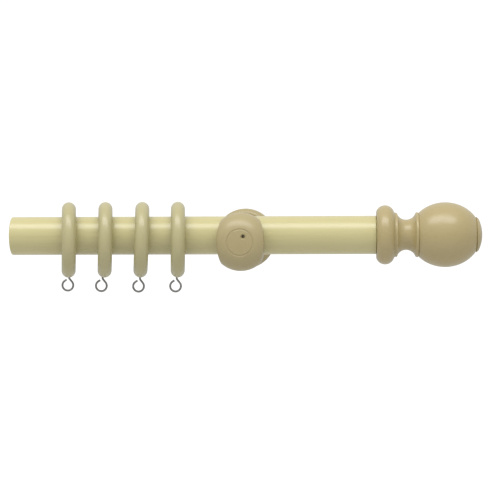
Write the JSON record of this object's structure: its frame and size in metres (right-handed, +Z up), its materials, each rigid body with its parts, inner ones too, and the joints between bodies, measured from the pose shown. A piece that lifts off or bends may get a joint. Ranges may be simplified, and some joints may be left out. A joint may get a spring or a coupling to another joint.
{
  "type": "wooden curtain pole end with bracket, finial and rings",
  "caption": "Painted wooden curtain pole end: turned wall bracket with an open cup, ball finial, and sliding rings with wire screw eyes.",
  "frame": {"origin": "middle of the bracket's wall face, on the turned axis of the bracket, which is also the middle of the wall screws", "axes": "+X along the pole towards the finial, +Y into the wall, +Z up"},
  "size_m": [0.3443, 0.0891, 0.0667],
  "materials": {
    "painted_pole": "satin cream paint",
    "painted_turning": "satin cream paint over turned wood",
    "zinc_steel": "bright zinc plating",
    "eye_wire": "dull nickel-plated wire",
    "dark_steel": "blackened steel",
    "brass": "plain turned brass"
  },
  "bodies": {
    "bracket": {"wall_plate": "zinc_steel", "mount_stud": "zinc_steel", "stud_nut": "zinc_steel", "rosette": "painted_turning", "bracket_arm": "painted_turning", "arm_insert": "brass"},
    "lock_screw": {"lock_screw": "dark_steel"},
    "pole": {"rod": "painted_pole"},
    "finial": {"finial": "painted_turning", "finial_screw": "zinc_steel"},
    "ring_1": {"ring_1": "painted_turning"},
    "eye_1": {"eye_1": "eye_wire"},
    "ring_2": {"ring_2": "painted_turning"},
    "eye_2": {"eye_2": "eye_wire"},
    "ring_3": {"ring_3": "painted_turning"},
    "eye_3": {"eye_3": "eye_wire"},
    "ring_4": {"ring_4": "painted_turning"},
    "eye_4": {"eye_4": "eye_wire"}
  },
  "joints": [
    {"name": "pole_lift", "type": "slide", "parent": "bracket", "child": "pole", "axis": [0, 0, 1], "range_m": [0, 0.05]},
    {"name": "lock_screw_back_off", "type": "slide", "parent": "bracket", "child": "lock_screw", "axis": [0, -1, 0], "range_m": [0, 0.006]},
    {"name": "finial_pull_off", "type": "slide", "parent": "pole", "child": "finial", "axis": [1, 0, 0], "range_m": [0, 0.03]},
    {"name": "ring_1_slide", "type": "slide", "parent": "pole", "child": "ring_1", "axis": [1, 0, 0], "range_m": [-0.03, 0.0068]},
    {"name": "eye_1_turn", "type": "hinge", "parent": "ring_1", "child": "eye_1", "pos_m": [-0.12759, -0.05995, -0.0266], "axis": [0.014, 0, 0.9999], "range_deg": [-90, 90]},
    {"name": "ring_2_slide", "type": "slide", "parent": "pole", "child": "ring_2", "axis": [1, 0, 0], "range_m": [-0.0068, 0.0068]},
    {"name": "eye_2_turn", "type": "hinge", "parent": "ring_2", "child": "eye_2", "pos_m": [-0.10267, -0.0602, -0.02656], "axis": [0.0227, 0, 0.9997], "range_deg": [-90, 90]},
    {"name": "ring_3_slide", "type": "slide", "parent": "pole", "child": "ring_3", "axis": [1, 0, 0], "range_m": [-0.0068, 0.0068]},
    {"name": "eye_3_turn", "type": "hinge", "parent": "ring_3", "child": "eye_3", "pos_m": [-0.07507, -0.06002, -0.02657], "axis": [0.0384, 0, 0.9993], "range_deg": [-90, 90]},
    {"name": "ring_4_slide", "type": "slide", "parent": "pole", "child": "ring_4", "axis": [1, 0, 0], "range_m": [-0.0068, 0.016]},
    {"name": "eye_4_turn", "type": "hinge", "parent": "ring_4", "child": "eye_4", "pos_m": [-0.04794, -0.06007, -0.02659], "axis": [0.0105, 0, 0.9999], "range_deg": [-90, 90]}
  ]
}
